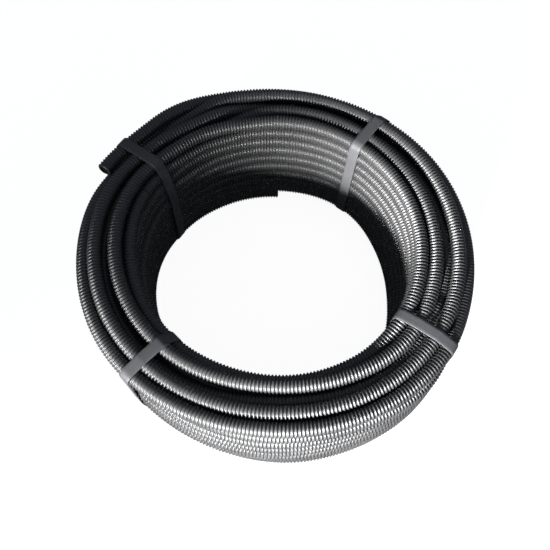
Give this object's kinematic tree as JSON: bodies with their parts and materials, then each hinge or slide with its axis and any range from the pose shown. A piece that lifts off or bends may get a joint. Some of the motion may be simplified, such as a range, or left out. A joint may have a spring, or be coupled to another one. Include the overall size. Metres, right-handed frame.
{
  "type": "corrugated conduit coil",
  "caption": "Black corrugated plastic conduit wound into a thick flat-lying coil with an open eye, tied by flat grey straps, with one open free end at the rim.",
  "frame": {"origin": "centre of the coil's footprint, on the plane of the straps' undersides that it rests on", "axes": "+Z is the axis of the coil, up out of the eye; +X is the coil's right and +Y its back, with the free end at the back left, running counter-clockwise seen from above"},
  "size_m": [0.532, 0.532, 0.198],
  "materials": {
    "conduit": "satin black polypropylene",
    "strap": "satin dark grey, finely embossed"
  },
  "bodies": {
    "root": {"conduit": "conduit", "strap_front_right": "strap", "strap_back_right": "strap", "strap_back_left": "strap", "strap_front_left": "strap"}
  },
  "joints": []
}
